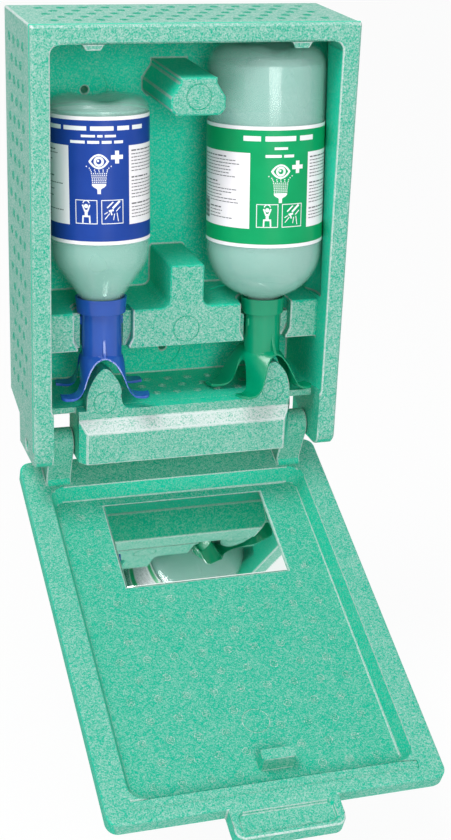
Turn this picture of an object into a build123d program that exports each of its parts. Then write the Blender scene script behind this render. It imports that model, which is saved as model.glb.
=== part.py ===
from build123d import *
import os
from dataclasses import dataclass
from math import atan, cos, degrees, radians, sin

# Wall-mounted double eyewash station, a foam cabinet with two bottles.
# Millimetres. +Z is up, the cabinet opens towards -Y, and its back lies on the wall in the plane Y = 0.
# The origin is the middle of the cabinet's height on its centre line, in the wall plane.
# The lid is drawn as it hangs open.

os.makedirs("parts", exist_ok=True)

# ---------------------------------------------------------------- driving dimensions
# cabinet
case_width = 240.0
case_height = 326.4
case_depth = 103.3
side_wall = 13.5
top_wall = 13.0
back_wall = 23.3
floor_height = 41.0  # top of the floor above the lower edge of the hinge cheeks
floor_lip = 4.5  # thickness of the floor at its front edge
back_corner_radius = 10.0
cavity_corner_radius = 7.0
rim_chamfer = 1.6
mouth_step = 1.4

# hinge cheeks at the lower front corners, and the sill between them
cheek_depth = 59.0
cheek_thickness = 14.7
cheek_nose_radius = 9.5
underside_rise = 24.0  # height of the case's underside behind the cheeks
underside_slope = 10.0
slot_width = 21.1  # between each cheek and the sill, for a hinge arm
slot_depth = 20.0  # how far the arm slots cut back into the floor
sill_setback = 4.0
sill_depth = 39.0
sill_foot = 24.0  # depth of the sill's flat underside
sill_corner = 6.2
sill_drop = 1.0
facet_height = 24.4
facet_rise = 8.8
facet_run = 6.0

# humps that stop the eye cups from turning
hump_half_width = 14.0
hump_foot = 21.0
hump_depth = 13.0

# bottle shelf with its neck notches, and the stem above it
shelf_setback = 20.0
shelf_bottom = 85.3
shelf_height = 30.0
stem_half_width = 13.3
stem_centre = 1.2
stem_rise = 32.5
stem_fillet = 6.0
shelf_edge = 1.5  # rounding of the shelf's and the stem's front edges
notch_clearance = 3.2
notch_lip = 3.1  # how much narrower the notch is at the shelf's lower edge, on each side
notch_straight = 22.0  # height of the notch's upright sides below the shelf's top
throat_clearance = 1.3
seat_clearance = 0.3
bay_clearance = 1.0  # between a bottle and the hollow that it leans into

# divider that keeps the bottles apart at the top
divider_setback = 0.6
divider_gap = 23.8  # between its top and the ceiling
divider_height = 26.6
divider_top_half = 13.6
divider_half = 20.2
divider_shoulder = 8.0
divider_fillet = 4.0
divider_edge = 1.5

# nubs under the ceiling that the lid's free edge snaps under
nub_width = 21.0
nub_height = 4.5
nub_depth = 12.0
nub_spacing = 152.0

# screw holes in the back
wall_hole_radius = 2.75
wall_hole_spacing = 128.0
wall_hole_drop = 59.1  # of the upper holes below the cabinet's top
lower_hole_height = 62.8
upper_boss_radius = 17.0
lower_boss_radius = 14.5
boss_recess = 1.0

# round marks that the mould's ejectors leave
ejector_mark_width = 0.9
ejector_mark_depth = 0.5
stem_mark_radius = 10.5
hump_mark_radius = 9.0
lid_mark_radius = 10.5
lid_mark_centre = 3.5
lid_mark_from_edge = 74.7

# lid, hinged under the cabinet
lid_overhang = 2.2  # past the cabinet's sides and top
lid_heel = 11.4  # past the pivot
lid_rim = 13.0
lid_gap = 0.5  # between the closed lid's rim and the cabinet's front
lid_corner_radius = 9.0
lid_edge_fillet = 2.0
lid_band = 18.5  # width of the rim at both sides
lid_front_band = 17.5
lid_hinge_band = 29.5
recess_depth = 13.0
recess_corner = 12.0
recess_run = 5.0
panel_thickness = 7.0
panel_slope = 30.0
rebate_width = 7.8
rebate_depth = 1.2
open_angle = 113.8

# hinge: arms on the lid with studs that turn in the cheeks
pivot_setback = 32.0
pivot_height = 9.0
arm_radius = 11.0
arm_gap = 0.8  # on both sides of each arm
arm_foot_fillet = 5.0
stud_radius = 4.2
stud_length = 11.0
stud_clearance = 0.1
stud_end_gap = 0.8
stud_tip = 1.2

# pull tab and catch block on the lid
tab_width = 79.0
tab_reach = 23.5
tab_corner = 7.0
tab_thickness = 13.0
tab_dish_depth = 3.0
tab_dish_margin = 5.0
catch_width = 27.0
catch_length = 11.0
catch_height = 12.5
catch_centre = 7.5
catch_from_edge = 38.5

# mirror in the lid
mirror_width = 128.0
mirror_height = 82.0
mirror_thickness = 2.0
mirror_centre = 3.0
mirror_from_edge = 248.0
mirror_clearance = 0.4
tape_thickness = 1.0
tape_width = 19.0
tape_margin = 4.0

# bottles: both lean back towards the wall
bottle_lean = 5.0
bottle_setback = 28.0  # neck axis behind the front plane, at bottle_level
bottle_level = 100.0
bottle_wall = 1.3
neck_clearance = 0.08  # the neck turns in the eye cup's bore
neck_depth = 6.0  # how far the neck reaches below the collar
neck_fillet = 3.0
base_band = 3.0  # flat ring round the base's hollow
label_thickness = 0.2
label_gap = 0.1
fill_clearance = 0.3
air_gap = 14.0
membrane_thickness = 0.4


@dataclass
class Bottle:
    """One bottle with its eye cup. Heights are measured along its own axis from bottle_level."""

    name: str
    side: int  # -1 on the left, 1 on the right
    wall_gap: float  # between the bottle and the cavity's side; below 0 it leans into a hollow there
    radius: float
    collar_radius: float
    tube_radius: float
    seat: float  # underside of the collar
    collar_height: float
    tube_bottom: float
    shoulder_start: float
    shoulder_end: float
    shoulder_radius: float
    base: float
    base_radius: float
    base_hollow: float
    label_bottom: float
    label_top: float
    cup_turn: float
    hump_offset: float  # of the hump's crown from the bottle's axis, outwards
    hump_height: float


small = Bottle(
    name="small",
    side=-1,
    wall_gap=7.1,
    radius=36.6,
    collar_radius=19.4,
    tube_radius=15.2,
    seat=13.3,
    collar_height=11.6,
    tube_bottom=-14.0,
    shoulder_start=20.2,
    shoulder_end=53.8,
    shoulder_radius=30.0,
    base=171.7,
    base_radius=9.5,
    base_hollow=4.0,
    label_bottom=70.0,
    label_top=160.5,
    cup_turn=-6.0,
    hump_offset=1.2,
    hump_height=33.0,
)
large = Bottle(
    name="large",
    side=1,
    wall_gap=-1.9,
    radius=43.7,
    collar_radius=16.9,
    tube_radius=13.7,
    seat=5.3,
    collar_height=12.2,
    tube_bottom=-20.0,
    shoulder_start=17.0,
    shoulder_end=32.0,
    shoulder_radius=38.0,
    base=206.5,
    base_radius=16.0,
    base_hollow=6.0,
    label_bottom=63.0,
    label_top=151.0,
    cup_turn=18.0,
    hump_offset=5.0,
    hump_height=29.0,
)
bottles = (small, large)

# eye cup: a saddle on four feet, with an arch over the nose and a hollow for each eye
cup_wall = 1.9
collar_flare = 1.0
saddle_half_length = 37.0
saddle_margin = 1.0  # the arches are lofted this much too long and too deep, then cut to outline
saddle_front = 18.5  # depth in front of the tube's axis
saddle_rear = 25.0
saddle_thickness = 2.0
saddle_fall = 5.0  # how much lower the arch's crown is at the front and back edges
saddle_drop = 33.0
foot_rise = 0.8
instep_share = 0.62  # where each foot starts, as a share of the half length
edge_leg_share = 0.62  # how far each arch has fallen beside the tube, as a share of the drop
middle_leg_share = 0.16
waist_share = 0.6  # how much of the saddle's thickness its legs have beside the tube
eye_hollow_reach = 21.5
eye_hollow_half = 12.0
fin_thickness = 2.2
fin_height = 21.0
lug_length = 7.0
lug_width = 3.0
lug_height = 0.9

# spray insert and seal ring
insert_clearance = 0.05
insert_thickness = 2.4
insert_rim = 3.0
insert_hole = 0.9
insert_holes = 8
ring_thickness = 2.0

# ---------------------------------------------------------------- reference levels and planes
front_y = -case_depth
bottom_z = -case_height / 2
top_z = case_height / 2
inner_back_y = -back_wall
cavity_half = case_width / 2 - side_wall
cheek_inner = case_width / 2 - cheek_thickness
sill_half_width = cheek_inner - slot_width
ceiling_z = top_z - top_wall
divider_z = ceiling_z - divider_gap - divider_height
floor_z = bottom_z + floor_height
front_plane = Plane(origin=(0, front_y, 0), x_dir=(1, 0, 0), z_dir=(0, -1, 0))
side_plane = Plane.YZ

pivot_y = front_y + pivot_setback
pivot_z = bottom_z + pivot_height
lid_reach = pivot_setback + lid_gap
lid_tilt = open_angle - 90
lid_normal = Vector(0, -sin(radians(lid_tilt)), cos(radians(lid_tilt)))
lid_origin = Vector(0, pivot_y, pivot_z) - lid_normal * lid_reach
# local X is across, local Y runs up to the hinge end, local Z points into the cabinet side of the lid
lid_plane = Plane(origin=lid_origin, x_dir=(1, 0, 0), z_dir=lid_normal)
lid_width = case_width + 2 * lid_overhang
lid_free_edge = -(case_height - pivot_height + lid_overhang)
lid_hinge_edge = lid_heel
lid_length = lid_hinge_edge - lid_free_edge

lean = Vector(0, sin(radians(bottle_lean)), cos(radians(bottle_lean)))


def centre_x(bottle):
    """How far right of the centre line the bottle's axis stands."""
    return bottle.side * (cavity_half - bottle.wall_gap - bottle.radius)


def neck_point(bottle):
    """The point of the bottle's axis at bottle_level."""
    return Vector(centre_x(bottle), front_y + bottle_setback, bottom_z + bottle_level)


def cross_plane(bottle, height):
    """The plane square to the bottle's axis at a height along it."""
    return Plane(origin=neck_point(bottle) + lean * height, x_dir=(1, 0, 0), z_dir=lean)


def profile_plane(bottle):
    """The plane through the bottle's axis: local X is the radius, local Y the height."""
    return Plane(origin=neck_point(bottle), x_dir=(1, 0, 0), z_dir=Vector(1, 0, 0).cross(lean))


def bottle_axis(bottle):
    """The bottle's axis, from its neck to its base."""
    return Axis(neck_point(bottle), lean)


# ---------------------------------------------------------------- cabinet
# Moulded foam in one piece: a deep box, hinge cheeks below it, and the shelf, sill, humps and divider
# that hold the bottles.
with BuildPart() as case_body:
    with BuildSketch(side_plane.offset(-case_width / 2)):
        with BuildLine():
            Polyline(
                (front_y, bottom_z),
                (front_y + cheek_depth, bottom_z),
                (front_y + cheek_depth + 1, bottom_z + underside_rise),
                (0, bottom_z + underside_rise + underside_slope),
                (0, top_z),
                (front_y, top_z),
                close=True,
            )
        make_face()
        nose = vertices().group_by(Axis.Y)[0].sort_by(Axis.X)[0]
        fillet(nose, cheek_nose_radius)
    extrude(amount=case_width)
    rear = edges().filter_by(Axis.Z).group_by(Axis.Y)[-1]
    rear += edges().filter_by(Axis.X).group_by(Axis.Y)[-1]
    fillet(rear, back_corner_radius)
    front_edges = faces().sort_by(Axis.Y)[0].edges()
    rim_edges = front_edges.filter_by(Axis.Z) + front_edges.filter_by(Axis.X).sort_by(Axis.Z)[-1:]
    chamfer(rim_edges, rim_chamfer)

    # main cavity, with a little draft
    cavity_mid = (floor_z + ceiling_z) / 2
    with BuildSketch(front_plane):
        with Locations((0, cavity_mid)):
            RectangleRounded(2 * cavity_half, ceiling_z - floor_z, cavity_corner_radius)
    extrude(amount=-(case_depth - back_wall), taper=1.0, mode=Mode.SUBTRACT)
    # its lower front is open down to the floor
    with BuildSketch(front_plane):
        with Locations((0, floor_z + cavity_corner_radius)):
            Rectangle(2 * cheek_inner, 2 * cavity_corner_radius)
    extrude(amount=-slot_depth, mode=Mode.SUBTRACT)

    # hollow between the cheeks, under the floor
    with BuildSketch(side_plane.offset(-cheek_inner)):
        with BuildLine():
            Polyline(
                (front_y - 1, bottom_z - 1),
                (front_y + cheek_depth + 4, bottom_z - 1),
                (front_y + cheek_depth + 4, bottom_z + underside_rise + 2),
                (front_y + slot_depth, floor_z - floor_lip),
                (front_y + slot_depth, floor_z + 1),
                (front_y - 1, floor_z + 1),
                close=True,
            )
        make_face()
    extrude(amount=2 * cheek_inner, mode=Mode.SUBTRACT)

    # sill between the hinge arms, with its sloped facet
    sill_front = front_y + sill_setback
    with BuildSketch(side_plane.offset(-sill_half_width)):
        with BuildLine():
            Polyline(
                (sill_front, bottom_z - sill_drop),
                (sill_front + sill_foot, bottom_z - sill_drop),
                (sill_front + sill_depth, bottom_z + pivot_height + 3),
                (sill_front + sill_depth, floor_z),
                (sill_front + facet_run, floor_z),
                (sill_front + facet_run, bottom_z + facet_height + facet_rise),
                (sill_front, bottom_z + facet_height),
                close=True,
            )
        make_face()
    extrude(amount=2 * sill_half_width)
    with BuildSketch(Plane.XY.offset(bottom_z - 2)):
        for side in (-1, 1):
            with BuildLine():
                Polyline(
                    (side * sill_half_width, sill_front - 1),
                    (side * sill_half_width, sill_front + sill_corner),
                    (side * (sill_half_width - sill_corner), sill_front - 1),
                    close=True,
                )
            make_face()
    extrude(amount=floor_height + 1.9, mode=Mode.SUBTRACT)

    # humps on the sill, one under each eye cup's arch
    hump_front = sill_front + facet_run
    for bottle in bottles:
        side = bottle.side
        crown = centre_x(bottle) + side * bottle.hump_offset
        outer = crown + side * hump_half_width
        inner = crown - side * hump_foot
        with BuildSketch(Plane(origin=(0, hump_front, floor_z - 1), x_dir=(1, 0, 0), z_dir=(0, -1, 0))):
            with BuildLine():
                Spline(
                    (outer, bottle.hump_height * 0.36),
                    (crown + side * 8.0, bottle.hump_height * 0.82),
                    (crown, bottle.hump_height + 1),
                    (crown - side * 8.0, bottle.hump_height * 0.82),
                    (crown - side * 13.0, bottle.hump_height * 0.42),
                    (inner, 0),
                    tangents=((-side * 0.25, 1), (-side * 1.0, -0.35)),
                )
                Polyline((inner, 0), (outer, 0), (outer, bottle.hump_height * 0.36))
            make_face()
        extrude(amount=-hump_depth)

    # bottle shelf and the stem above it
    shelf_front = front_y + shelf_setback
    with BuildSketch(Plane(origin=(0, shelf_front, bottom_z), x_dir=(1, 0, 0), z_dir=(0, -1, 0))):
        with Locations((0, shelf_bottom)):
            Rectangle(2 * cavity_half, shelf_height, align=(Align.CENTER, Align.MIN))
        with Locations((stem_centre, shelf_bottom + shelf_height)):
            Rectangle(2 * stem_half_width, stem_rise, align=(Align.CENTER, Align.MIN))
        stem_corners = vertices().filter_by(lambda v: abs(v.X - stem_centre) < stem_half_width + 1)
        fillet(stem_corners.group_by(Axis.Y)[0], stem_fillet)
        fillet(vertices().group_by(Axis.Y)[-1], 2.0)
    extrude(amount=-(case_depth - back_wall - shelf_setback))

    shelf_face = faces().filter_by(Axis.Y).filter_by(lambda f: abs(f.center().Y - shelf_front) < 0.01)
    fillet(shelf_face.edges().filter_by(lambda e: e.center().Z > bottom_z + shelf_bottom + 1), shelf_edge)

    # divider at the top
    divider_front = Vector(0, front_y + divider_setback, divider_z)
    with BuildSketch(Plane(origin=divider_front, x_dir=(1, 0, 0), z_dir=(0, -1, 0))):
        with BuildLine():
            Polyline(
                (-divider_half + 4, 0),
                (divider_half - 4, 0),
                (divider_half, divider_shoulder * 0.5),
                (divider_half, divider_shoulder * 1.6),
                (divider_top_half, divider_height - divider_fillet),
                (divider_top_half, divider_height),
                (-divider_top_half, divider_height),
                (-divider_top_half, divider_height - divider_fillet),
                (-divider_half, divider_shoulder * 1.6),
                (-divider_half, divider_shoulder * 0.5),
                close=True,
            )
        make_face()
    extrude(amount=-(case_depth - back_wall - divider_setback))

    divider_face = faces().filter_by(Axis.Y).filter_by(
        lambda f: abs(f.center().Y - divider_front.Y) < 0.01 and abs(f.center().X) < 1
    )
    fillet(divider_face.edges(), divider_edge)

    # small step inside the cavity's upper front edge
    with BuildSketch(front_plane):
        with Locations((0, ceiling_z)):
            Rectangle(2 * (cavity_half - cavity_corner_radius), 2 * mouth_step)
    extrude(amount=-mouth_step, mode=Mode.SUBTRACT)

    # nubs under the ceiling
    with BuildSketch(Plane(origin=(0, front_y + 1.5, ceiling_z), x_dir=(1, 0, 0), z_dir=(0, -1, 0))):
        with Locations((-nub_spacing / 2, 0), (nub_spacing / 2, 0)):
            Trapezoid(nub_width, 2 * nub_height, 60, rotation=180)
    extrude(amount=-nub_depth)

    # bays behind the bottles and the notches for their necks
    for bottle in bottles:
        bay_start = bottle.seat + bottle.collar_height
        with BuildSketch(cross_plane(bottle, bay_start)):
            Circle(bottle.radius + bay_clearance)
        extrude(amount=bottle.base + bay_clearance + 2 - bay_start, mode=Mode.SUBTRACT)
        # round seat under the collar, and the throat that the tube passes through
        notch_half = bottle.collar_radius + notch_clearance
        throat = bottle.tube_radius + throat_clearance
        with BuildSketch(cross_plane(bottle, bottle.seat - seat_clearance)):
            Circle(notch_half)
        extrude(amount=shelf_height + 10, mode=Mode.SUBTRACT)
        with BuildSketch(cross_plane(bottle, bottle.seat)):
            Circle(throat)
        extrude(amount=-(bottle.seat + bottle_level - shelf_bottom + 6), mode=Mode.SUBTRACT)
        # open to the front, narrower at the shelf's lower edge
        lip_half = notch_half - notch_lip
        notch_front = Vector(centre_x(bottle), shelf_front - 1, bottom_z + shelf_bottom)
        with BuildSketch(Plane(origin=notch_front, x_dir=(1, 0, 0), z_dir=(0, -1, 0))):
            with BuildLine():
                Polyline(
                    (-lip_half, -1),
                    (lip_half, -1),
                    (lip_half, 2),
                    (notch_half, shelf_height - notch_straight),
                    (notch_half, shelf_height + 1),
                    (-notch_half, shelf_height + 1),
                    (-notch_half, shelf_height - notch_straight),
                    (-lip_half, 2),
                    close=True,
                )
            make_face()
        extrude(amount=-(bottle_setback - shelf_setback + 1), mode=Mode.SUBTRACT)

    # wall screw holes, each in a shallow round recess
    back_face = Plane(origin=(0, inner_back_y, 0), x_dir=(1, 0, 0), z_dir=(0, -1, 0))
    upper_hole_z = top_z - wall_hole_drop
    upper_holes = [(-wall_hole_spacing / 2, upper_hole_z), (wall_hole_spacing / 2, upper_hole_z)]
    lower_hole = (0, bottom_z + lower_hole_height)
    with BuildSketch(back_face.offset(-boss_recess)):
        with Locations(*upper_holes):
            Circle(upper_boss_radius)
        with Locations(lower_hole):
            Circle(lower_boss_radius)
    extrude(amount=boss_recess + 0.5, mode=Mode.SUBTRACT)
    with BuildSketch(back_face.offset(-back_wall - 1)):
        with Locations(*upper_holes, lower_hole):
            Circle(wall_hole_radius)
    extrude(amount=back_wall + 2, mode=Mode.SUBTRACT)

    # pivot holes through the cheeks
    with BuildSketch(side_plane.offset(-case_width / 2 - 1)):
        with Locations((pivot_y, pivot_z)):
            Circle(stud_radius + stud_clearance)
    extrude(amount=case_width + 2, mode=Mode.SUBTRACT)

    # ejector marks on the divider, the stem and the humps
    divider_mark = Location((0, divider_z + divider_height / 2))
    stem_mark = Location((stem_centre, bottom_z + shelf_bottom + shelf_height / 2 - 2))
    marks = [
        (front_plane.offset(-divider_setback), divider_mark, stem_mark_radius - 1),
        (front_plane.offset(-shelf_setback), stem_mark, stem_mark_radius),
    ]
    for bottle in bottles:
        crown = centre_x(bottle) + bottle.side * bottle.hump_offset
        hump_mark = Location((crown, floor_z + hump_mark_radius - 3))
        marks.append((front_plane.offset(-sill_setback - facet_run), hump_mark, hump_mark_radius))
    for face_plane, place, radius in marks:
        with BuildSketch(face_plane):
            with Locations(place):
                Circle(radius)
                Circle(radius - ejector_mark_width, mode=Mode.SUBTRACT)
        extrude(amount=-ejector_mark_depth, mode=Mode.SUBTRACT)

case_body.part.label = "case_body"
export_step(case_body.part, "parts/case_body.step")

# ---------------------------------------------------------------- lid
# Moulded foam tray with a sunk panel, two hinge arms with studs, a pull tab and a catch block.
lid_middle = (lid_free_edge + lid_hinge_edge) / 2
recess_front = lid_free_edge + lid_front_band
recess_back = lid_hinge_edge - lid_hinge_band
recess_middle = (recess_front + recess_back) / 2
recess_half = lid_width / 2 - lid_band
recess_length = recess_back - recess_front
recess_taper = degrees(atan(recess_run / recess_depth))

with BuildPart() as lid:
    with BuildSketch(lid_plane):
        with Locations((0, lid_middle)):
            RectangleRounded(lid_width, lid_length, lid_corner_radius)
    extrude(amount=-lid_rim)
    fillet(faces().sort_by(Axis(lid_origin, lid_normal))[-1].edges(), lid_edge_fillet)
    # the panel's outside stands proud of the rim
    with BuildSketch(lid_plane.offset(-lid_rim)):
        with Locations((0, recess_middle)):
            RectangleRounded(2 * recess_half, recess_length, recess_corner)
    extrude(amount=-(recess_depth + panel_thickness - lid_rim), taper=panel_slope)
    with BuildSketch(lid_plane):
        with Locations((0, recess_middle)):
            RectangleRounded(2 * recess_half, recess_length, recess_corner)
    extrude(amount=-recess_depth, taper=recess_taper, mode=Mode.SUBTRACT)
    # rebate along the free edge
    with BuildSketch(lid_plane):
        with Locations((0, recess_front)):
            Rectangle(2 * recess_half, rebate_width, align=(Align.CENTER, Align.MAX))
    extrude(amount=-rebate_depth, mode=Mode.SUBTRACT)

    # pull tab with a dished finger rest
    with BuildSketch(lid_plane.offset(-lid_rim)):
        with Locations((0, lid_free_edge + lid_edge_fillet)):
            Rectangle(tab_width, tab_reach + lid_edge_fillet, align=(Align.CENTER, Align.MAX))
        fillet(vertices().group_by(Axis.Y)[0], tab_corner)
    extrude(amount=tab_thickness - 0.6)
    with BuildSketch(lid_plane.offset(-0.6)):
        with Locations((0, lid_free_edge - tab_reach / 2)):
            RectangleRounded(tab_width - 2 * tab_dish_margin, tab_reach - 2 * tab_dish_margin + 4, 4.5)
    extrude(amount=-tab_dish_depth, taper=25, mode=Mode.SUBTRACT)

    # catch block on the panel
    with BuildSketch(lid_plane.offset(-recess_depth)):
        with Locations((catch_centre, lid_free_edge + catch_from_edge)):
            RectangleRounded(catch_width, catch_length, 3.0)
    extrude(amount=catch_height, taper=6)

    # pocket for the mirror
    with BuildSketch(lid_plane.offset(-recess_depth)):
        with Locations((mirror_centre, lid_free_edge + mirror_from_edge)):
            Rectangle(mirror_width + 2 * mirror_clearance, mirror_height + 2 * mirror_clearance)
    extrude(amount=-(mirror_thickness + tape_thickness), mode=Mode.SUBTRACT)

    # ejector mark
    with BuildSketch(lid_plane.offset(-recess_depth)):
        with Locations((lid_mark_centre, lid_free_edge + lid_mark_from_edge)):
            Circle(lid_mark_radius)
            Circle(lid_mark_radius - ejector_mark_width, mode=Mode.SUBTRACT)
    extrude(amount=-ejector_mark_depth, mode=Mode.SUBTRACT)

    # hinge arms
    arm_inner = sill_half_width + arm_gap
    arm_width = cheek_inner - arm_gap - arm_inner
    for side in (-1, 1):
        arm_start = Plane(
            origin=lid_origin + Vector(side * arm_inner, 0, 0),
            x_dir=lid_plane.y_dir * side,
            z_dir=(side, 0, 0),
        )
        with BuildSketch(arm_start):
            with Locations((0, lid_reach)):
                Circle(arm_radius)
            Rectangle(2 * arm_radius, lid_reach, align=(Align.CENTER, Align.MIN))
        extrude(amount=arm_width)
    across = edges().filter_by(Axis.X)
    feet = ShapeList()
    for edge in across:
        place = lid_plane.to_local_coords(edge.center())
        if abs(place.Y + arm_radius) < 0.01 and abs(place.Z) < 0.01:
            feet.append(edge)
    fillet(feet, arm_foot_fillet)

    # studs that turn in the cheeks
    for side in (-1, 1):
        stud_root = Vector(side * (arm_inner + arm_width - 1), pivot_y, pivot_z)
        with BuildSketch(Plane(origin=stud_root, x_dir=(0, 1, 0), z_dir=(side, 0, 0))):
            Circle(stud_radius)
        extrude(amount=stud_length + 1)
        tip = faces().filter_by(Axis.X).sort_by(Axis.X)[-1 if side == 1 else 0]
        chamfer(tip.edges(), stud_tip)

lid.part.label = "lid"
export_step(lid.part, "parts/lid.step")

# ---------------------------------------------------------------- mirror and its tape
mirror_floor = lid_plane.offset(-recess_depth - mirror_thickness - tape_thickness)
mirror_place = (mirror_centre, lid_free_edge + mirror_from_edge)

with BuildPart() as mirror_plate:
    with BuildSketch(mirror_floor.offset(tape_thickness)):
        with Locations(mirror_place):
            Rectangle(mirror_width, mirror_height)
    extrude(amount=mirror_thickness)
    chamfer(faces().sort_by(Axis(lid_origin, lid_normal))[-1].edges(), 0.5)

mirror_plate.part.label = "mirror_plate"
export_step(mirror_plate.part, "parts/mirror_plate.step")

with BuildPart() as mirror_tape:
    with BuildSketch(mirror_floor):
        with Locations(mirror_place):
            with GridLocations(mirror_width - 2 * tape_width, 1, 2, 1):
                Rectangle(tape_width, mirror_height - 2 * tape_margin)
    extrude(amount=tape_thickness)

mirror_tape.part.label = "mirror_tape"
export_step(mirror_tape.part, "parts/mirror_tape.step")


# ---------------------------------------------------------------- bottles and eye cups
def bottle_section(bottle, inset, mouth_level):
    """Half section of a bottle, drawn inset from its outer skin, from its mouth up to its base."""
    neck = bottle.tube_radius - cup_wall - neck_clearance
    hollow_half = bottle.radius - bottle.base_radius - base_band
    with BuildSketch() as half:
        Polygon(
            (0, mouth_level),
            (neck, mouth_level),
            (neck, bottle.shoulder_start),
            (bottle.radius, bottle.shoulder_end),
            (bottle.radius, bottle.base),
            (0, bottle.base),
            align=None,
        )
        rising = vertices().sort_by(Axis.Y)
        fillet(rising[2], neck_fillet)
        rising = vertices().filter_by(lambda v: abs(v.Y - bottle.shoulder_end) < 0.01)
        fillet(rising, bottle.shoulder_radius)
        fillet(vertices().group_by(Axis.Y)[-1].sort_by(Axis.X)[-1], bottle.base_radius)
        mirror(about=Plane.YZ)
        with BuildLine():
            hollow_top = (0, bottle.base - bottle.base_hollow)
            ThreePointArc((-hollow_half, bottle.base), hollow_top, (hollow_half, bottle.base))
            Line((hollow_half, bottle.base), (-hollow_half, bottle.base))
        make_face(mode=Mode.SUBTRACT)
        if inset > 0:
            offset(amount=-inset)
        split(bisect_by=Plane.YZ, keep=Keep.TOP)
    return half.sketch


def saddle_section(depth, crown, leg, inset, waist):
    """Closed section of the saddle's arch, square to its depth, from the feet up to the crown."""
    half = saddle_half_length + saddle_margin + inset
    foot = -saddle_drop - inset
    waist -= inset * waist_share
    with BuildSketch(Plane.XZ.offset(-depth)) as arch:
        with BuildLine():
            Spline(
                (-half, foot + foot_rise),
                (-half * 0.84, foot),
                (-half * instep_share, foot + foot_rise),
                (-waist, leg - inset),
                (0, crown - inset),
                (waist, leg - inset),
                (half * instep_share, foot + foot_rise),
                (half * 0.84, foot),
                (half, foot + foot_rise),
            )
            Polyline(
                (-half, foot + foot_rise),
                (-half, foot - 10),
                (half, foot - 10),
                (half, foot + foot_rise),
            )
        make_face()
    return arch.sketch


def saddle_arches(inset, waist):
    """The saddle's three arches: the middle one is fuller and higher than the front and back ones."""
    front = saddle_front + saddle_margin + inset
    rear = saddle_rear + saddle_margin + inset
    edge_leg = -saddle_drop * edge_leg_share
    middle_leg = -saddle_drop * middle_leg_share
    return [
        saddle_section(rear, -saddle_fall, edge_leg, inset, waist),
        saddle_section(0, 0, middle_leg, inset, waist),
        saddle_section(-front, -saddle_fall, edge_leg, inset, waist),
    ]


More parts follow.
